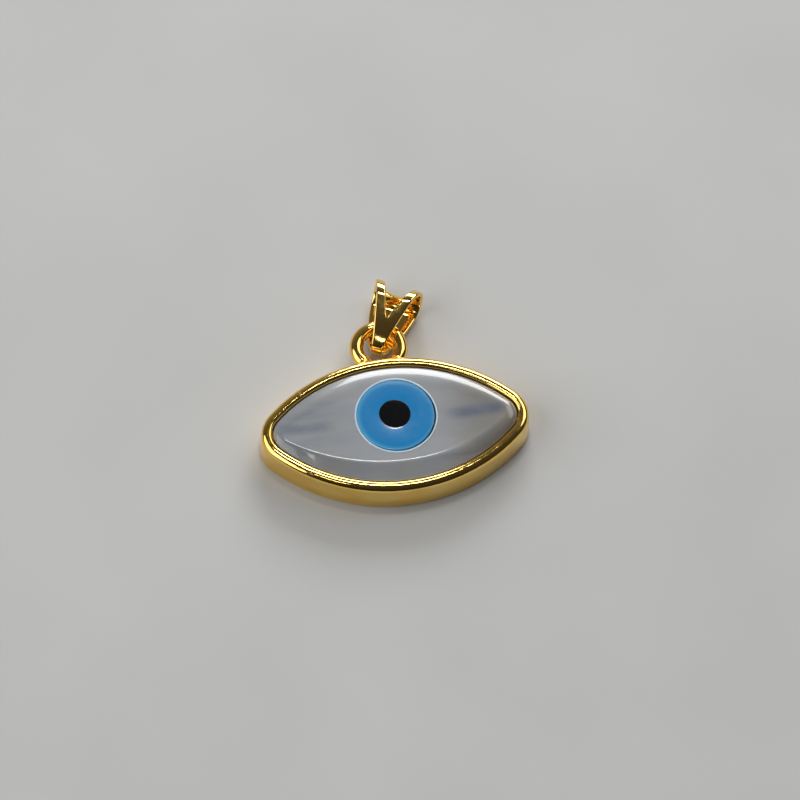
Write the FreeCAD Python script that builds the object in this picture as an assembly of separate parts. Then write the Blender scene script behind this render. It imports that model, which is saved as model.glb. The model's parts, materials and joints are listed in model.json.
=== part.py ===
"""An evil eye pendant: a marquise cup of gilded brass holds a mother-of-pearl plate with a round
blue and black eye let into it. A closed ring is soldered to the cup's upper edge, and a V-fronted
bail is looped through that ring, so that the bail can swing round it.

Frame: +Z is the way the eye faces, with the flat back on Z = 0. +X runs along the long axis and
+Y towards the ring. The origin is the centre of the flat back. Sizes are in millimetres.
The bail lies swung to the +X side, which is its rest position.
"""
import FreeCAD, Part
import math
import os

Vector = FreeCAD.Vector

# ---- driving dimensions ------------------------------------------------------------------------
rim_half_length = 10.69      # middle of the wall's foot, along X
rim_half_height = 5.79       # middle of the wall's foot, along Y
rim_tip_radius = 2.35        # rounding of the two corners, at the middle of the wall's foot
wall_thickness = 1.06
wall_lean = 0.14             # the wall's outside leans inwards by this much, foot to rim
rim_round_inner, rim_round_outer = 0.28, 0.55
cup_height = 2.80
wall_foot_round = 0.20
sliver = 0.01                # running gap between pieces that are only laid together
spare = 1.0                  # a shape that cuts another reaches this far past it

plate_thickness = 0.50       # back plate
plate_chamfer = 0.06
ledge_width = 0.60
ledge_height = 0.55          # the pearl rests on the ledge
cup_seam_angle = 128.0       # where the strip's two ends meet: a line from the seam origin, from +X
cup_seam_width = 0.10
cup_seam_origin_y = -6.0
cup_seam_start, cup_seam_reach = 8.6, 6.0    # how far out along that line the seam lies

pearl_gap = 0.08             # between the pearl's edge and the wall
pearl_edge_top = 2.58        # height of the pearl where its bevel starts
pearl_top = 2.98             # height of its flat middle
table_half_length = 9.66     # the flat middle, inside the bevel
table_half_height = 3.62
table_tip_radius = 1.00
crease_out, crease_in = 0.22, 0.14   # the crease is eased over this width each side
crease_drop = 0.040
string_hole_radius = 0.35    # drilled from tip to tip
string_hole_height = 1.75

eye_x, eye_y = 0.12, 0.56    # centre of the hole for the eye
eye_hole_radius = 3.44
eye_hole_floor = 1.35
liner_thickness = 0.15
iris_radius = 3.20
iris_shift_x, iris_shift_y = -0.055, 0.035
pupil_x, pupil_y = 0.02, 0.70
pupil_radius = 1.29
pupil_depth = 0.90
eye_top = 3.01
eye_edge_round = 0.05
pupil_rise = 0.01            # the pupil stands this much above the iris
pupil_edge_round = 0.03
eye_cement_thickness = 0.10

ring_x, ring_y, ring_z = -0.38, 7.73, 1.40
ring_centreline_radius = 1.86
ring_wire_radius = 0.585
solder_foot_radius = 0.84    # of each collar's cone, near the wall
solder_rise = 0.42           # the collar reaches this far out from the wall
solder_sunk = 0.30           # the cone is drawn from this far inside the wall
solder_flare = 0.20          # and is this much wider there
solder_bite = 0.10           # its thin end lies this far under the wire's surface

bail_x, bail_y, bail_z = -0.25, 8.18, 1.40   # centre of the bail's narrow lower bend
bail_angle = -25.7           # the bail's swing at rest, about Z
bail_sheet = 0.43
bail_low_radius = 1.05       # outside of the lower bend
bail_high_radius = 1.70      # outside of the upper bend
bail_high_y, bail_high_z = 3.68, 0.33        # centre of the upper bend, from the lower one
bail_foot_angle, bail_top_angle = 119.0, 101.0   # where the front leaves each bend, from +Y
bail_front_handle = 0.325    # tangent length of the front's curve, as a share of its span
bail_low_half_width = 0.44
bail_high_half_width = 2.10
bail_front_waist = (0.97, 1.33)              # a point of the front's curved edge
bail_back_bulge = (1.56, 1.70)               # a point of the back's curved edge
notch_apex_y = 1.59
notch_slope = 0.345          # half width gained per mm of height
notch_floor_z = -0.35        # the notch runs over the top, down to here
bail_tip_margin = 0.05       # the outline is drawn this much past the upper bend
bail_seam_y = 0.10           # the strap's ends meet here, on the back
bail_seam_width = 0.10
bail_seam_depth = 1.50       # the cut that makes the seam is this deep, through the back strap only


# ---- helpers -----------------------------------------------------------------------------------
def marquise(half_length, half_height, tip_radius, offset, z):
    """Closed wire of two large arcs and two small ones, tangent to each other, moved out by offset."""
    tip_x = half_length - tip_radius
    big = (tip_x ** 2 + half_height ** 2 - tip_radius ** 2) / (2 * (half_height - tip_radius))
    drop = big - half_height
    lean = math.atan2(drop, tip_x)

    def on_tip(side, angle):
        reach = tip_radius + offset
        return Vector(side * (tip_x + reach * math.cos(angle)), reach * math.sin(angle), z)

    right_up, right_tip, right_down = (on_tip(1, a) for a in (lean, 0, -lean))
    left_up, left_tip, left_down = (on_tip(-1, a) for a in (lean, 0, -lean))
    top = Vector(0, half_height + offset, z)
    bottom = Vector(0, -half_height - offset, z)
    arcs = [
        Part.Arc(right_down, right_tip, right_up),
        Part.Arc(right_up, top, left_up),
        Part.Arc(left_up, left_tip, left_down),
        Part.Arc(left_down, bottom, right_down),
    ]
    return Part.Wire([arc.toShape() for arc in arcs])


def rim_outline(offset, z):
    return marquise(rim_half_length, rim_half_height, rim_tip_radius, offset, z)


def block(offset, low, high):
    """Solid with the cup's plan, moved out by offset."""
    return Part.Face(rim_outline(offset, low)).extrude(Vector(0, 0, high - low))


def cylinder(radius, x, y, low, high):
    return Part.makeCylinder(radius, high - low, Vector(x, y, low))


def edges_at(shape, z):
    """Edges that lie wholly at height z."""
    found = []
    for edge in shape.Edges:
        box = edge.BoundBox
        if abs(box.ZMin - z) < 1e-5 and abs(box.ZMax - z) < 1e-5:
            found.append(edge)
    return found


def export(name, shape):
    solids = shape.Solids
    print(name, "solids", len(solids), "volume", round(shape.Volume, 3), "valid", shape.isValid())
    kept = solids[0] if len(solids) == 1 else Part.makeCompound(solids)
    kept.exportStep("parts/%s.step" % name)


half_wall = wall_thickness / 2
inside = -half_wall - sliver
ledge_top = plate_thickness + ledge_height


# ---- cup ---------------------------------------------------------------------------------------
def leaning_block(gap):
    """Solid bounded by the wall's outside, moved out by gap."""
    foot, rim = rim_outline(half_wall + gap, 0), rim_outline(half_wall - wall_lean + gap, cup_height)
    return Part.makeLoft([foot, rim], True, True)


def cup_band():
    """The rounded band before its seam is cut."""
    solid = leaning_block(0)
    solid = solid.makeFillet(wall_foot_round, edges_at(solid, 0))
    solid = solid.makeFillet(rim_round_outer, edges_at(solid, cup_height))
    band = solid.cut(block(-half_wall, -spare, cup_height + spare))
    inner_edges = [e for e in edges_at(band, cup_height) if e.BoundBox.YLength < 2 * rim_half_height]
    return band.makeFillet(rim_round_inner, inner_edges)


def seam_slab():
    """Thin upright slab across the band at the upper left, where the strip's ends meet."""
    slab = Part.makeBox(cup_seam_reach, cup_seam_width, cup_height + 2 * spare,
                        Vector(cup_seam_start, -cup_seam_width / 2, -spare))
    slab.rotate(Vector(0, 0, 0), Vector(0, 0, 1), cup_seam_angle)
    slab.translate(Vector(0, cup_seam_origin_y, 0))
    return slab


def back_plate():
    plate = block(inside, 0, plate_thickness)
    return plate.makeChamfer(plate_chamfer, edges_at(plate, 0))


def seat_ledge():
    whole = block(inside, plate_thickness, ledge_top)
    return whole.cut(block(inside - ledge_width, plate_thickness - spare, ledge_top + spare))


def bedding_cement():
    return block(inside - ledge_width - sliver, plate_thickness, ledge_top)


# ---- pearl and eye -----------------------------------------------------------------------------
def pearl_plate():
    edge = -half_wall - pearl_gap
    low = block(edge, ledge_top, pearl_edge_top)
    creases = [
        marquise(table_half_length, table_half_height, table_tip_radius, offset, z)
        for offset, z in ((crease_out, pearl_top - crease_drop), (-crease_in, pearl_top))
    ]
    bevel = Part.makeLoft([rim_outline(edge, pearl_edge_top)] + creases, True, True)
    plate = low.fuse(bevel)
    plate = plate.cut(cylinder(eye_hole_radius, eye_x, eye_y, eye_hole_floor, pearl_top + spare))
    reach = rim_half_length + spare
    drill = Part.makeCylinder(string_hole_radius, 2 * reach, Vector(-reach, 0, string_hole_height),
                              Vector(1, 0, 0))
    return plate.cut(drill)


eye_bed = eye_hole_floor + eye_cement_thickness
liner_radius = eye_hole_radius - sliver


def eye_cement():
    return cylinder(liner_radius, eye_x, eye_y, eye_hole_floor, eye_bed)


def eye_liner():
    tube = cylinder(liner_radius, eye_x, eye_y, eye_bed, eye_top)
    tube = tube.makeFillet(eye_edge_round, edges_at(tube, eye_top))
    return tube.cut(cylinder(liner_radius - liner_thickness, eye_x, eye_y, 0, eye_top + spare))


def iris_disc():
    disc = cylinder(iris_radius, eye_x + iris_shift_x, eye_y + iris_shift_y, eye_bed, eye_top)
    disc = disc.makeFillet(eye_edge_round, edges_at(disc, eye_top))
    seat = cylinder(pupil_radius + sliver, pupil_x, pupil_y, eye_top - pupil_depth, eye_top + spare)
    return disc.cut(seat)


def pupil_disc():
    top = eye_top + pupil_rise
    plug = cylinder(pupil_radius, pupil_x, pupil_y, eye_top - pupil_depth, top)
    return plug.makeFillet(pupil_edge_round, edges_at(plug, top))


# ---- hanging ring ------------------------------------------------------------------------------
def whole_ring():
    return Part.makeTorus(ring_centreline_radius, ring_wire_radius, Vector(ring_x, ring_y, ring_z))


def hanging_ring():
    """The ring, filed to sit against the cup's wall."""
    return whole_ring().cut(leaning_block(sliver))


def ring_solder():
    """A tapered collar of solder round each of the ring's two feet."""
    wall_y = rim_half_height + half_wall
    foot_x = math.sqrt(ring_centreline_radius ** 2 - (ring_y - wall_y) ** 2)
    collars = []
    for side in (-1, 1):
        foot = Vector(ring_x + side * foot_x, wall_y - solder_sunk, ring_z)
        collar = Part.makeCone(solder_foot_radius + solder_flare, ring_wire_radius - solder_bite,
                               solder_rise + solder_sunk, foot, Vector(0, 1, 0))
        collar = collar.cut(whole_ring()).cut(leaning_block(sliver))
        collars.append(max(collar.Solids, key=lambda s: s.Volume))
    return Part.makeCompound(collars)


# ---- bail --------------------------------------------------------------------------------------
def loop_wire(inset, x):
    """Side view of the bail, moved in by inset: two round bends, a straight back and a crowned front."""
    low, high = bail_low_radius - inset, bail_high_radius - inset
    span = math.hypot(bail_high_y, bail_high_z)
    slope = math.atan2(bail_high_z, bail_high_y)
    back = slope - math.acos((low - high) / span)
    foot, top = math.radians(bail_foot_angle), math.radians(bail_top_angle)

    def on_low(angle):
        return Vector(x, low * math.cos(angle), low * math.sin(angle))

    def on_high(angle):
        return Vector(x, bail_high_y + high * math.cos(angle), bail_high_z + high * math.sin(angle))

    def tangent(angle):
        return Vector(0, math.sin(angle), -math.cos(angle))

    start, end = on_low(foot), on_high(top)
    handle = bail_front_handle * start.distanceToPoint(end)
    front = Part.BezierCurve()
    front.setPoles([start, start + tangent(foot) * handle, end - tangent(top) * handle, end])
    return Part.Wire([
        front.toShape(),
        Part.Arc(end, on_high(slope), on_high(back)).toShape(),
        Part.LineSegment(on_high(back), on_low(back)).toShape(),
        Part.Arc(on_low(back), on_low(slope + math.pi), start).toShape(),
    ])


def bail_loop():
    reach = bail_high_half_width + spare
    outer, inner = (Part.Face(loop_wire(inset, -reach)).extrude(Vector(2 * reach, 0, 0))
                    for inset in (0, bail_sheet))
    return outer.cut(inner)


bail_bottom = -bail_low_radius
bail_tip = bail_high_y + bail_high_radius + bail_tip_margin
bail_depth = bail_high_z + bail_high_radius + spare  # further than the strap reaches in front or behind


def plan(waypoint, depth):
    """The strap's outline seen from the front, with sides curved through the waypoint."""
    waypoint_x, waypoint_y = waypoint

    def side(sign):
        return Part.Arc(Vector(sign * bail_low_half_width, bail_bottom, 0),
                        Vector(sign * waypoint_x, waypoint_y, 0),
                        Vector(sign * bail_high_half_width, bail_tip, 0)).toShape()

    def across(half_width, y):
        return Part.LineSegment(Vector(-half_width, y, 0), Vector(half_width, y, 0)).toShape()

    ends = [across(bail_low_half_width, bail_bottom), across(bail_high_half_width, bail_tip)]
    outline = Part.Wire(Part.__sortEdges__([side(1), side(-1)] + ends))
    return Part.Face(outline).extrude(Vector(0, 0, depth))


def notch():
    """The V between the two prongs. It runs over the top to the back."""
    top_y = bail_tip + spare
    reach = (top_y - notch_apex_y) * notch_slope
    corners = [Vector(0, notch_apex_y, notch_floor_z), Vector(reach, top_y, notch_floor_z),
               Vector(-reach, top_y, notch_floor_z)]
    triangle = Part.Face(Part.makePolygon(corners + corners[:1]))
    return triangle.extrude(Vector(0, 0, bail_depth - notch_floor_z))


def bail_seam_slab():
    """The gap between the strap's ends, on the back just above the lower bend."""
    width = 2 * bail_high_half_width
    front = -bail_low_radius + 2 * bail_sheet
    corner = Vector(-width / 2, bail_seam_y, front - bail_seam_depth)
    return Part.makeBox(width, bail_seam_width, bail_seam_depth, corner)


def in_place(shape):
    shape = shape.copy()
    shape.rotate(Vector(0, 0, 0), Vector(0, 0, 1), bail_angle)
    shape.translate(Vector(bail_x, bail_y, bail_z))
    return shape


def closed_bail():
    outline = plan(bail_front_waist, bail_depth).fuse(plan(bail_back_bulge, -bail_depth))
    return bail_loop().common(outline).cut(notch())


def main():
    os.makedirs("parts", exist_ok=True)
    band, slab = cup_band(), seam_slab()
    export("cup_wall", band.cut(slab))
    export("cup_wall_seam", band.common(slab))
    export("back_plate", back_plate())
    export("seat_ledge", seat_ledge())
    export("bedding_cement", bedding_cement())
    export("pearl_plate", pearl_plate())
    export("eye_cement", eye_cement())
    export("eye_liner", eye_liner())
    export("iris_disc", iris_disc())
    export("pupil_disc", pupil_disc())
    export("hanging_ring", hanging_ring())
    export("ring_solder", ring_solder())
    bail, seam = closed_bail(), bail_seam_slab()
    export("bail_strap", in_place(bail.cut(seam)))
    export("bail_seam", in_place(bail.common(seam)))


main()
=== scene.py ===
"""Looks of the evil eye pendant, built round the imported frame.

The polished metal, the pearl and the eye are finer meshes that stand for their CAD nodes. The seams,
the solder, the back and the hidden pieces are the CAD nodes themselves. Shapes are worked out in
millimetres and turned into metres when a mesh is made.
"""
import json
import math

import bmesh
import bpy
from mathutils import Matrix, Vector


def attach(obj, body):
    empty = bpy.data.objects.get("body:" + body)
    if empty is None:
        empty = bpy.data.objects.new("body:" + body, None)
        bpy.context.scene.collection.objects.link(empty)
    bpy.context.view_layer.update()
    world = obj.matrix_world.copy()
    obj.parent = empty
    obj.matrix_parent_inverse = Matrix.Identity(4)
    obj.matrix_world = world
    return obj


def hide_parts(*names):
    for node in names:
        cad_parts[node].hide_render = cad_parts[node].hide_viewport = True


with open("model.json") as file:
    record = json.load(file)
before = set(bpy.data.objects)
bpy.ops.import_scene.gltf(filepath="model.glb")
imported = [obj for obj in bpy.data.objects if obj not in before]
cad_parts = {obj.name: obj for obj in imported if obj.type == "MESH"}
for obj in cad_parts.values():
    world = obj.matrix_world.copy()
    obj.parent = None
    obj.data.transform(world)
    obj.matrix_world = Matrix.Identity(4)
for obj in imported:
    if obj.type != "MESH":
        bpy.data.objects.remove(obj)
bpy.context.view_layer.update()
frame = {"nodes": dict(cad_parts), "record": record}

MM = 0.001

# ---- sizes, as in the part ---------------------------------------------------------------------
RIM = (10.69, 5.79, 2.35)        # half length, half height and tip radius, at the wall's middle
HALF_WALL = 0.53
WALL_LEAN = 0.14
CUP_HEIGHT = 2.80
FOOT_ROUND = 0.20
RIM_ROUND_INNER, RIM_ROUND_OUTER = 0.28, 0.55
PEARL_FOOT, PEARL_EDGE_TOP, PEARL_TOP = 1.05, 2.58, 2.98
PEARL_GAP = 0.08
PEARL_TABLE = (9.66, 3.62, 1.00)
EYE = (0.12, 0.56)
EYE_HOLE_RADIUS = 3.44
EYE_FLOOR = 1.35
LINER_OUTER, LINER_INNER = 3.43, 3.28
IRIS = (0.065, 0.595)
IRIS_RADIUS = 3.20
PUPIL = (0.02, 0.70)
PUPIL_RADIUS = 1.29
PUPIL_GAP, PUPIL_FOOT = 0.01, 2.11
EYE_BED, EYE_TOP = 1.45, 3.01
PUPIL_RISE = 0.01                # the pupil stands this much above the iris
RING = (-0.38, 7.73, 1.40)
RING_CENTRELINE, RING_WIRE = 1.86, 0.585
BAIL = (-0.25, 8.18, 1.40)
BAIL_ANGLE = -25.7
BAIL_SHEET = 0.43
BAIL_LOW, BAIL_HIGH = (0.0, 0.0, 1.05), (3.68, 0.33, 1.70)   # y, z and radius of the two bends
BAIL_FOOT_ANGLE, BAIL_TOP_ANGLE = 119.0, 101.0               # where the front leaves each bend
BAIL_FRONT_HANDLE = 0.325
BAIL_LOW_HALF_WIDTH, BAIL_HIGH_HALF_WIDTH = 0.44, 2.10
BAIL_FRONT_WAIST, BAIL_BACK_BULGE = (0.97, 1.33), (1.56, 1.70)
BAIL_TIP_MARGIN = 0.05           # the outline is drawn this much past the upper bend
NOTCH_APEX, NOTCH_SLOPE, NOTCH_FLOOR = 1.59, 0.345, -0.35
UNDER = 0.004                    # polished faces lie this far under the CAD's, so seams stay proud

# ---- finer than the part -----------------------------------------------------------------------
BAIL_EDGE = 0.14                 # rounding of the strap's edges
BAIL_CROWN = 0.022               # the strap's faces curve down by this much at their edges
PARTED = 0.30                    # notch half width past which each prong has a crown of its own
NOTCH_END_ROUND = 0.30           # the notch closes over this length
TINY = 1e-6


# ---- mesh helpers ------------------------------------------------------------------------------
def shade(mesh, sharp):
    """Smooth shading, but for edges that bend by more than sharp degrees."""
    mesh.shade_smooth()
    mesh.set_sharp_from_angle(angle=math.radians(sharp))


def add_mesh(name, points, faces, sharp=35.0):
    """Smooth-shaded object from points in millimetres."""
    mesh = bpy.data.meshes.new(name)
    mesh.from_pydata([Vector(p) * MM for p in points], [], faces)
    mesh.validate()
    shade(mesh, sharp)
    obj = bpy.data.objects.new(name, mesh)
    bpy.context.scene.collection.objects.link(obj)
    return obj


def lofted(rows, close_rows):
    """Points and faces of quads between closed rows of equally many points."""
    count = len(rows[0])
    points = [p for row in rows for p in row]
    pairs = [(k, k + 1) for k in range(len(rows) - 1)]
    if close_rows:
        pairs.append((len(rows) - 1, 0))
    faces = []
    for low, high in pairs:
        for i in range(count):
            j = (i + 1) % count
            faces.append((low * count + i, low * count + j, high * count + j, high * count + i))
    return points, faces


def capped(rows):
    """Closed solid: quads between the rows, with a polygon at each end."""
    points, faces = lofted(rows, False)
    count = len(rows[0])
    faces.append(tuple(reversed(range(count))))
    faces.append(tuple(len(points) - count + i for i in range(count)))
    return points, faces


def arc(centre, radius, start, end, steps):
    """Points of an arc in a plane, from angle start to angle end, in degrees."""
    angles = [math.radians(start + (end - start) * k / steps) for k in range(steps + 1)]
    return [(centre[0] + radius * math.cos(a), centre[1] + radius * math.sin(a)) for a in angles]


def circle(centre, radius, z, count=160):
    """Points of a level circle at height z."""
    return [(x, y, z) for x, y in arc(centre, radius, 0, 360, count)[:-1]]


def big_arc(shape):
    """Radius of a marquise's two large arcs, and how far their centres lie past its middle."""
    half_length, half_height, tip_radius = shape
    tip_x = half_length - tip_radius
    radius = (tip_x ** 2 + half_height ** 2 - tip_radius ** 2) / (2 * (half_height - tip_radius))
    return radius, radius - half_height


def marquise(shape, big_steps=110, tip_steps=34):
    """The outline's points with their outward normals, all the way round."""
    half_length, _, tip_radius = shape
    tip_x = half_length - tip_radius
    big, drop = big_arc(shape)
    lean = math.atan2(drop, tip_x)
    arcs = [
        ((tip_x, 0), tip_radius, -lean, lean, tip_steps),
        ((0, -drop), big, lean, math.pi - lean, big_steps),
        ((-tip_x, 0), tip_radius, math.pi - lean, math.pi + lean, tip_steps),
        ((0, drop), big, math.pi + lean, 2 * math.pi - lean, big_steps),
    ]
    found = []
    for (x, y), radius, start, end, steps in arcs:
        for k in range(steps):
            a = start + (end - start) * k / steps
            normal = Vector((math.cos(a), math.sin(a), 0))
            found.append((Vector((x, y, 0)) + radius * normal, normal))
    return found


def ring_at(outline, offset, z):
    """The outline's points moved out by offset, at height z."""
    return [p + n * offset + Vector((0, 0, z)) for p, n in outline]


# ---- metal -------------------------------------------------------------------------------------
def make_cup_wall():
    """The wall's section, with its foot and rim rounded, led round the marquise."""
    outline = marquise(RIM)
    height = CUP_HEIGHT - UNDER
    inside, top = -HALF_WALL, HALF_WALL - WALL_LEAN - UNDER
    foot = HALF_WALL - WALL_LEAN * FOOT_ROUND / CUP_HEIGHT - UNDER
    profile = arc((foot - FOOT_ROUND, FOOT_ROUND), FOOT_ROUND, -90, 0, 8)
    steps = 10
    for k in range(1, steps):
        part = k / steps
        z = FOOT_ROUND + (height - RIM_ROUND_OUTER - FOOT_ROUND) * part
        profile.append((foot + (top - foot) * part, z))
    outer, inner = RIM_ROUND_OUTER, RIM_ROUND_INNER
    profile += arc((top - outer, height - outer), outer, 0, 90, 16)
    profile += arc((inside + inner, height - inner), inner, 90, 180, 12)
    profile += [(inside, PEARL_FOOT), (inside, 0.0)]
    points, faces = lofted([ring_at(outline, o, z) for o, z in profile], True)
    obj = add_mesh("cup_wall_polished", points, faces)
    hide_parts("cup_wall")
    return obj


def wall_outside(x, z):
    """y of the wall's outside above the middle, near the ring."""
    big, drop = big_arc(RIM)
    reach = big + HALF_WALL - WALL_LEAN * z / CUP_HEIGHT
    return math.sqrt(reach ** 2 - x ** 2) - drop


def make_hanging_ring():
    """A wire ring, with its feet flattened a little way inside the cup's wall."""
    sunk = 0.15
    round_ring, round_wire = 144, 40
    wire = RING_WIRE - UNDER
    rows = []
    for k in range(round_ring):
        a = 2 * math.pi * k / round_ring
        row = []
        for q in range(round_wire):
            b = 2 * math.pi * q / round_wire
            reach = RING_CENTRELINE + wire * math.cos(b)
            x, y = RING[0] + reach * math.sin(a), RING[1] + reach * math.cos(a)
            z = RING[2] + wire * math.sin(b)
            row.append((x, max(y, wall_outside(x, z) - sunk), z))
        rows.append(row)
    points, faces = lofted(rows, True)
    obj = add_mesh("hanging_ring_polished", points, [f[::-1] for f in faces], sharp=60)
    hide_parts("hanging_ring")
    return obj


def side_curve(waypoint):
    """Half width of the strap at height y, on a circle through its ends and the waypoint."""
    low = Vector((BAIL_LOW_HALF_WIDTH, -BAIL_LOW[2]))
    high = Vector((BAIL_HIGH_HALF_WIDTH, BAIL_HIGH[0] + BAIL_HIGH[2] + BAIL_TIP_MARGIN))
    way = Vector(waypoint)
    d = 2 * (low.x * (way.y - high.y) + way.x * (high.y - low.y) + high.x * (low.y - way.y))
    sq = [p.length_squared for p in (low, way, high)]
    cx = (sq[0] * (way.y - high.y) + sq[1] * (high.y - low.y) + sq[2] * (low.y - way.y)) / d
    cy = (sq[0] * (high.x - way.x) + sq[1] * (low.x - high.x) + sq[2] * (way.x - low.x)) / d
    radius = math.hypot(low.x - cx, low.y - cy)
    side = 1 if way.x > cx else -1
    return lambda y: cx + side * math.sqrt(max(radius ** 2 - (y - cy) ** 2, 0))


def bail_path():
    """Stations round the bail's side view: y, z and the outward normal's angle, from the front's foot."""
    front_steps, top_steps, back_steps, foot_steps = 90, 96, 60, 64
    dy, dz = BAIL_HIGH[0] - BAIL_LOW[0], BAIL_HIGH[1] - BAIL_LOW[1]
    back = math.atan2(dz, dy) - math.acos((BAIL_LOW[2] - BAIL_HIGH[2]) / math.hypot(dy, dz))
    foot, top = math.radians(BAIL_FOOT_ANGLE), math.radians(BAIL_TOP_ANGLE)

    def on(bend, angle):
        return (bend[0] + bend[2] * math.cos(angle), bend[1] + bend[2] * math.sin(angle), angle)

    def bend_round(bend, start, end, steps):
        return [on(bend, start + (end - start) * k / steps) for k in range(steps)]

    start, end = Vector(on(BAIL_LOW, foot)[:2]), Vector(on(BAIL_HIGH, top)[:2])
    handle = BAIL_FRONT_HANDLE * (end - start).length
    poles = [start, start + handle * Vector((math.sin(foot), -math.cos(foot))),
             end - handle * Vector((math.sin(top), -math.cos(top))), end]
    path = []
    for k in range(front_steps):
        t = k / front_steps
        u = 1 - t
        at = poles[0] * u ** 3 + poles[1] * 3 * u * u * t + poles[2] * 3 * u * t * t + poles[3] * t ** 3
        first, second, third = (b - a for a, b in zip(poles, poles[1:]))
        along = first * u * u + second * 2 * u * t + third * t * t
        path.append((at.x, at.y, math.atan2(along.y, along.x) + math.pi / 2))
    path += bend_round(BAIL_HIGH, top, back, top_steps)
    ends = list(zip(on(BAIL_HIGH, back), on(BAIL_LOW, back)))
    path += [tuple(a + (b - a) * k / back_steps for a, b in ends) for k in range(back_steps)]
    path += bend_round(BAIL_LOW, back, foot - 2 * math.pi, foot_steps)
    return path


def notch_half_width(station, end, y):
    """Half width of the notch at height y. Past end, its last station, it closes in a shallow round."""
    station_y, station_z, _ = station
    if station_y <= NOTCH_APEX:
        return 0.0
    if station_z > NOTCH_FLOOR:
        return max(y - NOTCH_APEX, 0) * NOTCH_SLOPE
    gone = math.hypot(station_y - end[0], station_z - end[1])
    if gone >= NOTCH_END_ROUND:
        return 0.0
    full = max(end[0] - NOTCH_APEX, 0) * NOTCH_SLOPE
    return full * math.sqrt(1 - (gone / NOTCH_END_ROUND) ** 2)


def strip_section(station, end, side):
    """Closed section of the strap to the right of its middle, from the notch or the middle to the side."""
    y, z, angle = station
    out_y, out_z = math.cos(angle), math.sin(angle)
    high = side(y)

    def put(share, from_inner, from_outer, depth, level):
        """share runs from the inner edge, 0, to the outer edge, 1. level is 1 outside and -1 inside."""
        depth = min(max(depth, 0), BAIL_SHEET)
        yy, zz = y - out_y * depth, z - out_z * depth
        low = notch_half_width(station, end, yy)
        x = (low + from_inner) * (1 - share) + (high - from_outer) * share
        parted = min(1.0, low / PARTED)
        from_middle = (x - low / 2 - high / 2) / (high - low) * 2
        bow = (1 - parted) * (x / high) ** 2 + parted * from_middle ** 2
        sag = level * (UNDER + BAIL_CROWN * bow)
        return (x, yy - out_y * sag, zz - out_z * sag)

    turns = [math.radians(15 * q) for q in range(7)]
    outer = [(BAIL_EDGE * (1 - math.sin(a)), BAIL_EDGE * (1 - math.cos(a))) for a in turns]
    gap = notch_half_width(station, end, y)
    small = min(1.0, gap / BAIL_EDGE)
    inner = [(d * small, h * small) if gap > TINY else (0, h) for d, h in outer]
    spread = [0.2, 0.4, 0.6, 0.8]
    row = [put(0, d, 0, h, 1) for d, h in reversed(inner)]
    row += [put(s, 0, 0, 0, 1) for s in spread]
    row += [put(1, 0, d, h, 1) for d, h in outer]
    row += [put(1, 0, d, BAIL_SHEET - h, -1) for d, h in reversed(outer)]
    row += [put(s, 0, 0, BAIL_SHEET, -1) for s in reversed(spread)]
    row += [put(0, d, 0, BAIL_SHEET - h, -1) for d, h in inner]
    return row


def make_bail_strap():
    """The strap as two mirrored strips, which part where the notch is and are welded elsewhere."""
    path = bail_path()
    end = [(y, z) for y, z, _ in path if y > NOTCH_APEX and z > NOTCH_FLOOR][-1]
    front_side, back_side = side_curve(BAIL_FRONT_WAIST), side_curve(BAIL_BACK_BULGE)
    rows = [strip_section(p, end, front_side if p[1] > 0 else back_side) for p in path]
    right, quads = lofted(rows, True)
    quads = [q for q in quads if any(right[i][0] > TINY for i in q)]
    left = [(-x, y, z) for x, y, z in right]
    faces = [q[::-1] for q in quads]
    faces += [tuple(i + len(right) for i in q) for q in quads]
    turn = Matrix.Rotation(math.radians(BAIL_ANGLE), 3, "Z")
    points = [turn @ Vector(p) + Vector(BAIL) for p in right + left]
    sharp, together = 38, 0.002
    obj = add_mesh("bail_strap_polished", points, faces, sharp)
    weld(obj, together, sharp)
    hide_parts("bail_strap")
    return obj


def weld(obj, distance, sharp):
    """Joins points that lie together, distance in mm, and drops what has no area."""
    bm = bmesh.new()
    bm.from_mesh(obj.data)
    bmesh.ops.remove_doubles(bm, verts=bm.verts, dist=distance * MM)
    bmesh.ops.dissolve_degenerate(bm, edges=bm.edges, dist=distance * MM / 2)
    bmesh.ops.recalc_face_normals(bm, faces=bm.faces)
    bm.to_mesh(obj.data)
    bm.free()
    shade(obj.data, sharp)


# ---- pearl and eye -----------------------------------------------------------------------------
def wear(point):
    """How worn the crease is: not at all low on the left, and wholly so above and to the right."""
    worn = 0
    for place, start, width in ((point.x, 3.0, 4.0), (point.y, -1.2, 1.6)):
        worn = max(worn, min((place - start) / width, 1))
    return worn * worn * (3 - 2 * worn)


def blend(a, b, share):
    """From a at share 0 to b at share 1."""
    return a * (1 - share) + b * share


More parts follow.
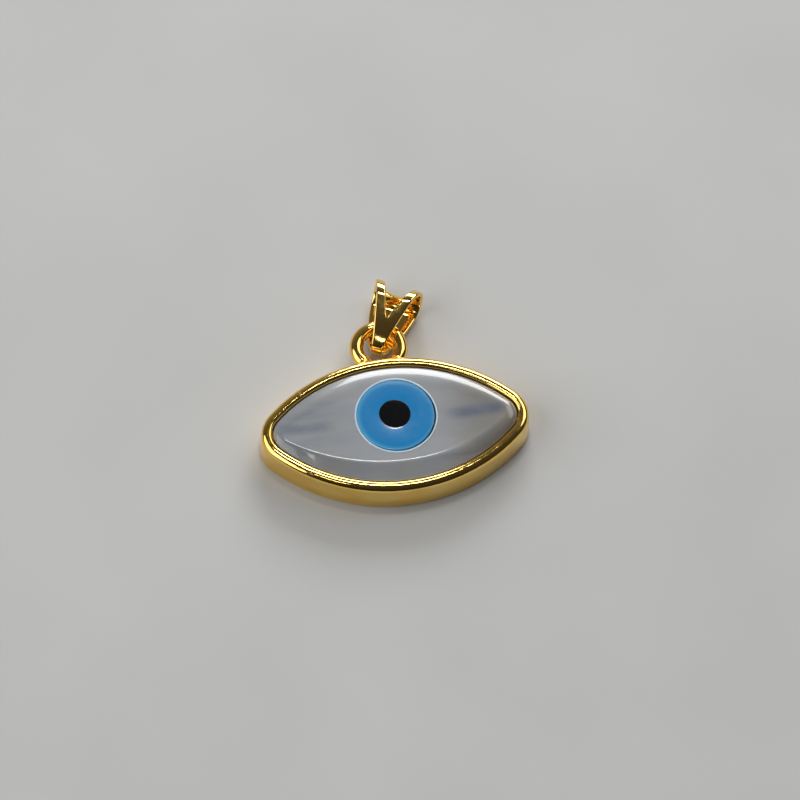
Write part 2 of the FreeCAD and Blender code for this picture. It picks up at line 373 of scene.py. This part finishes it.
def make_pearl_plate():
    """The plate with a bevel round its flat middle. Where the crease is worn, the bevel is a soft curve."""
    edge = marquise(RIM)
    table = marquise(PEARL_TABLE)
    offset = -HALF_WALL - PEARL_GAP
    eased_in, eased_down = 0.03, 0.05            # the plate's edge, where its bevel starts
    crisp, soft, steepening = 0.20, 0.75, 0.36
    rim = ring_at(edge, offset - eased_in, PEARL_EDGE_TOP)
    rows = [ring_at(edge, offset, PEARL_FOOT), ring_at(edge, offset, PEARL_EDGE_TOP - eased_down), rim]
    curves = []
    for (p, n), r in zip(table, rim):
        crease = p + Vector((0, 0, PEARL_TOP))
        worn = wear(p)
        start = crease + (r - crease) * blend(crisp / (r - crease).length, 1.0, worn)
        bend = crease + (r - crease) * steepening * worn
        bend.z = PEARL_TOP
        curves.append((start, bend, crease - n * blend(crisp, soft, worn)))
    for part in (0.25, 0.5, 0.75):
        rows.append([blend(r, start, part) for r, (start, _, _) in zip(rim, curves)])
    steps = 24
    for k in range(steps + 1):
        t = k / steps
        rows.append([a * (1 - t) ** 2 + b * 2 * t * (1 - t) + c * t ** 2 for a, b, c in curves])
    sharp = 30
    obj = add_mesh("pearl_plate_polished", *capped(rows), sharp)
    levels = (EYE_FLOOR, PEARL_TOP + 1)
    cutter = add_mesh("cutter", *capped([circle(EYE, EYE_HOLE_RADIUS, z, 200) for z in levels]))
    carve(obj, cutter, sharp)
    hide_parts("pearl_plate")
    return obj


def carve(obj, cutter, sharp):
    """Cuts the cutter out of obj for good, and removes it."""
    modifier = obj.modifiers.new("hole", "BOOLEAN")
    modifier.object = cutter
    modifier.solver = "EXACT"
    bpy.context.view_layer.update()
    shape = bpy.data.meshes.new_from_object(obj.evaluated_get(bpy.context.evaluated_depsgraph_get()))
    obj.modifiers.clear()
    obj.data = shape
    shade(obj.data, sharp)
    bpy.data.objects.remove(cutter)


def round_plug(node, centre, radius, low, high, edge, hole=None, meniscus=0.0):
    """A disc with a rounded upper edge and a top that dips by meniscus.

    hole is a centre, a radius and a floor. A hole with its floor at low goes right through.
    """
    rows = [circle(centre, radius, low)]
    for r, z in arc((radius - edge, high - edge), edge, 0, 90, 8):
        rows.append(circle(centre, r, z))
    if hole is None:
        rows += [circle(centre, radius * s, high - meniscus * (1 - s ** 4))
                 for s in (0.9, 0.7, 0.45, 0.2, 0.02)]
        points, faces = capped(rows)
    else:
        hole_centre, hole_radius, hole_floor = hole
        inner = circle(hole_centre, hole_radius, high)
        outer = rows[-1]
        for s in (0.06, 0.3, 0.6, 0.9, 0.98, 1.0):
            dip = meniscus * (1 - (2 * s - 1) ** 4)
            level = [tuple(a + (b - a) * s for a, b in zip(p, q)) for p, q in zip(outer, inner)]
            rows.append([(x, y, z - dip) for x, y, z in level])
        rows.append(circle(hole_centre, hole_radius, hole_floor))
        points, faces = capped(rows) if hole_floor > low else lofted(rows, True)
    obj = add_mesh(node + "_polished", points, faces, sharp=40)
    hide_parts(node)
    return obj


# ---- materials ---------------------------------------------------------------------------------
GOLD = (1.0, 0.700, 0.205)


class Recipe:
    """A material's node tree, with short calls for the nodes it needs."""

    def __init__(self, name):
        self.material = bpy.data.materials.new(name)
        self.material.use_nodes = True
        self.tree = self.material.node_tree
        self.shader = self.tree.nodes["Principled BSDF"]
        coordinates = self.tree.nodes.new("ShaderNodeTexCoord")
        self.place = self.mapped(coordinates.outputs["Object"], (1 / MM,) * 3)

    def link(self, source, socket):
        self.tree.links.new(source, socket)

    def mapped(self, source, scale, turn=(0, 0, 0)):
        """source stretched by scale and turned by turn, in radians."""
        node = self.tree.nodes.new("ShaderNodeMapping")
        node.inputs["Scale"].default_value = scale
        node.inputs["Rotation"].default_value = turn
        self.link(source, node.inputs["Vector"])
        return node.outputs["Vector"]

    def noise(self, scale, detail=3.0, rough=0.5, place=None, distortion=0.0):
        node = self.tree.nodes.new("ShaderNodeTexNoise")
        node.inputs["Scale"].default_value = scale
        node.inputs["Detail"].default_value = detail
        node.inputs["Roughness"].default_value = rough
        node.inputs["Distortion"].default_value = distortion
        self.link(place or self.place, node.inputs["Vector"])
        return node.outputs["Fac"]

    def ramp(self, source, stops):
        """Colour along source; stops are (position, colour)."""
        node = self.tree.nodes.new("ShaderNodeValToRGB")
        elements = node.color_ramp.elements
        while len(elements) < len(stops):
            elements.new(0.5)
        for element, (position, colour) in zip(elements, stops):
            element.position = position
            element.color = (*colour, 1)
        self.link(source, node.inputs["Fac"])
        return node.outputs["Color"]

    def span(self, source, low, high, to_low=0.0, to_high=1.0, smooth=False):
        """Source from low to high turned into to_low to to_high."""
        node = self.tree.nodes.new("ShaderNodeMapRange")
        if smooth:
            node.interpolation_type = "SMOOTHSTEP"
        for key, value in zip(("From Min", "From Max", "To Min", "To Max"), (low, high, to_low, to_high)):
            node.inputs[key].default_value = value
        self.link(source, node.inputs["Value"])
        return node.outputs["Result"]

    def math(self, kind, a, b=None):
        node = self.tree.nodes.new("ShaderNodeMath")
        node.operation = kind
        for socket, value in zip(node.inputs, (a, b)):
            if isinstance(value, (int, float)):
                socket.default_value = value
            elif value is not None:
                self.link(value, socket)
        return node.outputs["Value"]

    def mix(self, factor, a, b):
        """Colour a at factor 0 and b at factor 1."""
        node = self.tree.nodes.new("ShaderNodeMix")
        node.data_type = "RGBA"
        if isinstance(factor, (int, float)):
            node.inputs["Factor"].default_value = factor
        else:
            self.link(factor, node.inputs["Factor"])
        for socket, value in ((node.inputs[6], a), (node.inputs[7], b)):
            if isinstance(value, tuple):
                socket.default_value = (*value, 1)
            else:
                self.link(value, socket)
        return node.outputs[2]

    def axes(self):
        """x, y and z in millimetres."""
        node = self.tree.nodes.new("ShaderNodeSeparateXYZ")
        self.link(self.place, node.inputs["Vector"])
        return node.outputs["X"], node.outputs["Y"], node.outputs["Z"]

    def bump(self, layers):
        """layers are (height, depth in mm); each is laid on the one before."""
        normal = None
        for height, depth in layers:
            node = self.tree.nodes.new("ShaderNodeBump")
            node.inputs["Strength"].default_value = 1.0
            node.inputs["Distance"].default_value = depth * MM
            self.link(height, node.inputs["Height"])
            if normal is not None:
                self.link(normal, node.inputs["Normal"])
            normal = node.outputs["Normal"]
        self.link(normal, self.shader.inputs["Normal"])

    def paint(self, **sockets):
        """Sets the shader's sockets; underscores stand for spaces."""
        for key, value in sockets.items():
            socket = self.shader.inputs[key.replace("_", " ")]
            if isinstance(value, bpy.types.NodeSocket):
                self.link(value, socket)
            else:
                socket.default_value = value
        return self.material


def gold(name, light, deep, rough, wave, grain=None):
    """Plated gold. wave is the depth in mm of its slow unevenness.

    grain stretches the hairlines of a brushed face; a polished one has only faint ones.
    """
    r = Recipe(name)
    fine = (0.5, 7.0, 1.5)
    hair_depth = 0.0006 if grain is None else 0.006
    cloud = r.noise(0.55, 3.0)
    tone = r.mix(r.span(cloud, 0.35, 0.65, smooth=True), light, deep)
    pits = r.span(r.noise(9.0, 4.0, 0.65), 0.62, 0.78, smooth=True)
    tone = r.mix(r.math("MULTIPLY", pits, 0.35), tone, tuple(c * 0.55 for c in deep))
    smear = r.noise(2.2, 4.0, 0.6)
    shine = r.span(smear, 0.3, 0.7, rough * 0.75, rough * 1.5)
    hair = r.noise(6.0, 2.0, 0.5, r.mapped(r.place, grain or fine, (0, 0, 0.4)))
    r.bump([(r.noise(0.75, 2.0), wave), (r.noise(3.5, 2.0), wave * 0.08), (hair, hair_depth)])
    return r.paint(Base_Color=tone, Metallic=1.0, Roughness=shine)


def pearl_finish():
    """Nacre: cool and warm patches, soft silky bands, darker to the right and lighter in the middle, and
    painted shade where the string hole lies inside the shell.
    """
    r = Recipe("mother_of_pearl")
    x, y, _ = r.axes()
    patches = r.noise(0.20, 2.0, 0.5, r.mapped(r.place, (0.55, 1.2, 1.0), (0, 0, 0.15)), 0.5)
    body = r.ramp(patches, [(0.32, (0.205, 0.230, 0.262)), (0.47, (0.240, 0.254, 0.268)),
                            (0.58, (0.270, 0.264, 0.256)), (0.70, (0.222, 0.238, 0.248))])
    silk = r.noise(0.55, 3.0, 0.45, r.mapped(r.place, (0.22, 1.1, 1.0), (0, 0, -0.10)), 0.5)
    body = r.mix(r.span(silk, 0.38, 0.66, 0.0, 0.28, smooth=True), body, (0.35, 0.365, 0.385))
    fibre = r.noise(3.5, 2.0, 0.5, r.mapped(r.place, (0.20, 1.6, 1.0), (0, 0, -0.08)))
    body = r.mix(r.span(fibre, 0.40, 0.70, 0.0, 0.07, smooth=True), body, (0.42, 0.42, 0.42))
    rightward = r.math("MULTIPLY", r.span(x, 3.0, 8.0, smooth=True), 0.75)
    body = r.mix(rightward, body, (0.182, 0.171, 0.154))
    middle = r.math("MULTIPLY", r.span(r.math("ABSOLUTE", x), 6.5, 2.5, smooth=True), 0.30)
    body = r.mix(middle, body, (0.375, 0.405, 0.455))
    warm = r.math("MULTIPLY", r.span(x, 7.2, 10.0, smooth=True), 0.45)
    body = r.mix(warm, body, (0.250, 0.205, 0.160))
    body = string_hole_shade(r, x, y, body)
    r.bump([(r.noise(0.45, 1.0), 0.008)])
    r.shader.subsurface_method = "RANDOM_WALK"
    return r.paint(Base_Color=body, Roughness=0.28, IOR=1.55, Coat_Weight=0.8, Coat_Roughness=0.06,
                   Subsurface_Weight=0.12, Subsurface_Scale=0.6 * MM)


def string_hole_shade(r, x, y, body):
    """Painted shade of the drilled hole inside the shell: a soft blue-grey streak on each side of the eye.
    """
    wander = r.math("MULTIPLY", r.math("SUBTRACT", r.noise(0.35, 2.0), 0.5), 0.35)
    blotch = r.span(r.noise(1.3, 3.0, 0.6, r.mapped(r.place, (0.6, 1.5, 1.0))), 0.30, 0.62, 0.62, 1.0)
    for start, end, height, slope, half, strength in (
            (3.7, 9.6, 0.20, 0.035, 0.88, 0.95), (-4.3, -10.0, 0.15, 0.0, 0.75, 0.60)):
        middle = r.math("ADD", r.math("MULTIPLY", r.math("SUBTRACT", x, start), slope), height)
        away = r.math("ABSOLUTE", r.math("SUBTRACT", r.math("ADD", y, wander), middle))
        across = r.span(away, half, 0.0, smooth=True)
        sign = 1 if end > start else -1
        enter = r.span(x, start, start + sign * 2.2, smooth=True)
        leave = r.span(x, end, end - sign * 1.3, smooth=True)
        # painted shade: the streak darkens the nacre along the hole that runs inside it
        bore_shade = r.math("MULTIPLY", r.math("MULTIPLY", across, enter), r.math("MULTIPLY", leave, blotch))
        body = r.mix(r.math("MULTIPLY", bore_shade, strength), body, (0.070, 0.100, 0.165))
    return body


def resin(name, light, deep, rough, coat=1.0, specks=0.12, rim=None):
    """Poured resin: faint clouds, fine specks and a slightly uneven glossy surface.

    rim is a centre, the radii it grows between and the colour of the painted light that the resin takes
    towards its edge.
    """
    r = Recipe(name)
    tone = r.mix(r.span(r.noise(0.6, 3.0), 0.3, 0.7), light, deep)
    if rim:
        centre, start, end, colour = rim
        x, y, _ = r.axes()
        squares = [r.math("POWER", r.math("SUBTRACT", axis, middle), 2.0)
                   for axis, middle in zip((x, y), centre)]
        reach = r.math("SQRT", r.math("ADD", *squares))
        # painted light: the resin grows paler towards its edge, round the given centre
        tone = r.mix(r.span(reach, start, end, smooth=True), tone, colour)
    speck = r.span(r.noise(14.0, 2.0), 0.66, 0.76, 0.0, specks, smooth=True)
    tone = r.mix(speck, tone, tuple(min(1.0, c * 1.6 + 0.02) for c in light))
    shine = r.span(r.noise(3.0, 3.0), 0.3, 0.7, rough * 0.8, rough * 1.3)
    r.bump([(r.noise(1.1, 2.0), 0.006), (r.noise(8.0, 2.0), 0.0008)])
    return r.paint(Base_Color=tone, Roughness=shine, Coat_Weight=coat, Coat_Roughness=0.04, IOR=1.5)


def cement_finish():
    r = Recipe("cement")
    tone = r.mix(r.span(r.noise(2.0, 4.0), 0.35, 0.65), (0.56, 0.53, 0.45), (0.42, 0.39, 0.33))
    r.bump([(r.noise(3.0, 4.0), 0.02)])
    return r.paint(Base_Color=tone, Roughness=0.7)


def cover(obj, material):
    """Gives the whole of obj one material."""
    obj.data.materials.clear()
    obj.data.materials.append(material)
    for polygon in obj.data.polygons:
        polygon.material_index = 0


def make_metal():
    """The polished metal pieces, each with its body, finish and slot."""
    wall = gold("gold_polished", GOLD, (0.97, 0.63, 0.155), rough=0.085, wave=0.030)
    # painted shade: the wire's gold is a little deeper and more saturated than the wall's, for the colour
    # that gold takes from its own reflections in shade; its roughness and unevenness are its own finish
    wire = gold("gold_wire", (1.0, 0.67, 0.185), (0.96, 0.61, 0.15), rough=0.075, wave=0.020)
    sheet = gold("gold_sheet", (1.0, 0.69, 0.205), (0.96, 0.63, 0.16), rough=0.075, wave=0.012)
    return [
        (make_cup_wall(), "pendant", wall, "gilding"),
        (make_hanging_ring(), "pendant", wire, "gilding_ring"),
        (make_bail_strap(), "bail", sheet, "gilding_bail"),
    ]


def make_inlay():
    """The pearl and the three parts of the eye, each with its body, finish and slot."""
    top = EYE_TOP - UNDER
    pearl = make_pearl_plate()
    liner_hole = (EYE, LINER_INNER, EYE_BED)
    pupil_hole = (PUPIL, PUPIL_RADIUS + PUPIL_GAP, PUPIL_FOOT)
    liner = round_plug("eye_liner", EYE, LINER_OUTER, EYE_BED, top, edge=0.05, hole=liner_hole)
    iris = round_plug("iris_disc", IRIS, IRIS_RADIUS, EYE_BED, top, edge=0.06, hole=pupil_hole,
                      meniscus=0.02)
    pupil = round_plug("pupil_disc", PUPIL, PUPIL_RADIUS, PUPIL_FOOT, top + PUPIL_RISE, edge=0.04,
                       meniscus=0.012)
    # painted light on the iris's edge: paler all round, most on the left, where the light falls on it
    painted_edge_light = ((IRIS[0] + 0.08, IRIS[1]), 2.75, 3.35, (0.07, 0.38, 0.66))
    white = resin("resin_white", (0.62, 0.74, 0.84), (0.52, 0.66, 0.78), rough=0.30)
    blue = resin("resin_blue", (0.005, 0.225, 0.540), (0.004, 0.205, 0.510), rough=0.18, rim=painted_edge_light)
    black = resin("resin_black", (0.004, 0.004, 0.005), (0.002, 0.002, 0.003), rough=0.08, coat=0.3,
                  specks=0.02)
    return [
        (pearl, "pendant", pearl_finish(), "pearl"),
        (liner, "pendant", white, "liner"),
        (iris, "pendant", blue, "iris"),
        (pupil, "pendant", black, "pupil"),
    ]


def dress():
    """Puts every finer piece on its body, and gives each piece and CAD node its finish."""
    for obj, body, material, slot in make_metal() + make_inlay():
        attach(obj, body)
        cover(obj, material)
    brushed = (0.25, 9.0, 1.0)
    plain = gold("gold_plain", GOLD, (0.93, 0.64, 0.20), rough=0.28, wave=0.020, grain=brushed)
    unpolished = gold("gold_unpolished", (0.90, 0.60, 0.20), (0.80, 0.50, 0.15), rough=0.42, wave=0.030)
    solder = gold("gold_solder", (1.0, 0.74, 0.28), (0.95, 0.66, 0.22), rough=0.20, wave=0.030)
    cement = cement_finish()
    finishes = {"gilding_back": plain, "gilding_inside": unpolished, "solder": solder, "cement": cement}
    for sub in frame["record"]["subparts"]:
        slot = sub["material_slot"]
        if slot in finishes:
            cover(frame["nodes"][sub["node"]], finishes[slot])


# ---- studio ------------------------------------------------------------------------------------
# Lights: azimuth and elevation in degrees, size in metres, power in watts and shape.
LIGHTS = {
    "lamp_over_crease": (177, 72.6, (0.15, 0.045), 0.42, "RECTANGLE"),
    "lamp_near_left": (-42, 67.0, (0.10, 0.045), 0.08, "RECTANGLE"),
    "window_far": (163, 26, (0.39, 0.20), 2.2, "RECTANGLE"),
    "soft_left": (-84, 34, (0.72, 0.62), 2.1, "ELLIPSE"),
    "soft_right": (125, 45, (0.35, 0.30), 0.7, "RECTANGLE"),
}
LIGHT_DISTANCE = 0.60


def make_floor():
    """Pale floor, a hair below the pendant's back so that the two never flicker."""
    half, gap = 1.5, 0.00003
    mesh = bpy.data.meshes.new("floor")
    corners = [(-half, -half, 0), (half, -half, 0), (half, half, 0), (-half, half, 0)]
    mesh.from_pydata(corners, [], [(0, 1, 2, 3)])
    floor = bpy.data.objects.new("floor", mesh)
    floor.location.z = -gap
    bpy.context.scene.collection.objects.link(floor)
    r = Recipe("floor_pale")
    tone = r.mix(r.span(r.noise(0.05, 2.0), 0.3, 0.7), (0.61, 0.615, 0.61), (0.575, 0.58, 0.575))
    mesh.materials.append(r.paint(Base_Color=tone, Roughness=0.95, Specular_IOR_Level=0.1))


def toward(azimuth, elevation):
    """Unit vector out from the object: azimuth 0 is the -Y side and 90 the +X side."""
    a, e = math.radians(azimuth), math.radians(elevation)
    return Vector((math.sin(a) * math.cos(e), -math.cos(a) * math.cos(e), math.sin(e)))


def add_light(name, azimuth, elevation, size, power, shape):
    data = bpy.data.lights.new(name, "AREA")
    data.shape = shape
    data.size, data.size_y = size
    data.energy = power
    light = bpy.data.objects.new(name, data)
    out = toward(azimuth, elevation)
    light.location = out * LIGHT_DISTANCE
    light.rotation_mode = "QUATERNION"
    light.rotation_quaternion = out.to_track_quat("Z", "Y")
    bpy.context.scene.collection.objects.link(light)


def make_world():
    """Dim, slightly warm room, which grows lighter from the near side to the far side."""
    world = bpy.data.worlds.new("room")
    bpy.context.scene.world = world
    world.use_nodes = True
    tree = world.node_tree
    background = tree.nodes["Background"]
    place = tree.nodes.new("ShaderNodeTexCoord")
    split = tree.nodes.new("ShaderNodeSeparateXYZ")
    tree.links.new(place.outputs["Generated"], split.inputs["Vector"])
    ramp = tree.nodes.new("ShaderNodeValToRGB")
    warm = (1.10, 0.98, 0.83)
    stops = ((0.0, 0.02), (0.25, 0.035), (0.5, 0.05), (0.75, 0.07), (1.0, 0.22))
    elements = ramp.color_ramp.elements
    while len(elements) < len(stops):
        elements.new(0.5)
    for element, (position, level) in zip(elements, stops):
        element.position = position
        element.color = (*(level * share for share in warm), 1)
    halve = tree.nodes.new("ShaderNodeMapRange")
    halve.inputs["From Min"].default_value = -1.0
    tree.links.new(split.outputs["Y"], halve.inputs["Value"])
    tree.links.new(halve.outputs["Result"], ramp.inputs["Fac"])
    tree.links.new(ramp.outputs["Color"], background.inputs["Color"])
    background.inputs["Strength"].default_value = 1.0


def make_studio():
    bpy.context.scene.view_settings.view_transform = "Standard"
    make_floor()
    make_world()
    for name, settings in LIGHTS.items():
        add_light(name, *settings)


def make_camera():
    """From in front and above, a little to the left, as far off as a close hand-held shot."""
    azimuth, elevation, roll, distance = -11.16, 63.30, -4.27, 0.300
    data = bpy.data.cameras.new("camera")
    data.sensor_width = 36.0
    data.lens = 163.35
    data.shift_x, data.shift_y = 0.0069, 0.0473
    data.clip_start, data.clip_end = 0.01, 10.0
    camera = bpy.data.objects.new("camera", data)
    back = toward(azimuth, elevation)
    up = (Vector((0, 0, 1)) - back * back.z).normalized()
    right = up.cross(back)
    tilt = math.radians(roll)
    rolled_up = up * math.cos(tilt) + right * math.sin(tilt)
    rolled_right = right * math.cos(tilt) - up * math.sin(tilt)
    turn = Matrix((rolled_right, rolled_up, back)).transposed()
    camera.matrix_world = Matrix.Translation(back * distance) @ turn.to_4x4()
    bpy.context.scene.collection.objects.link(camera)
    bpy.context.scene.camera = camera


dress()
make_studio()
make_camera()
bpy.context.view_layer.update()
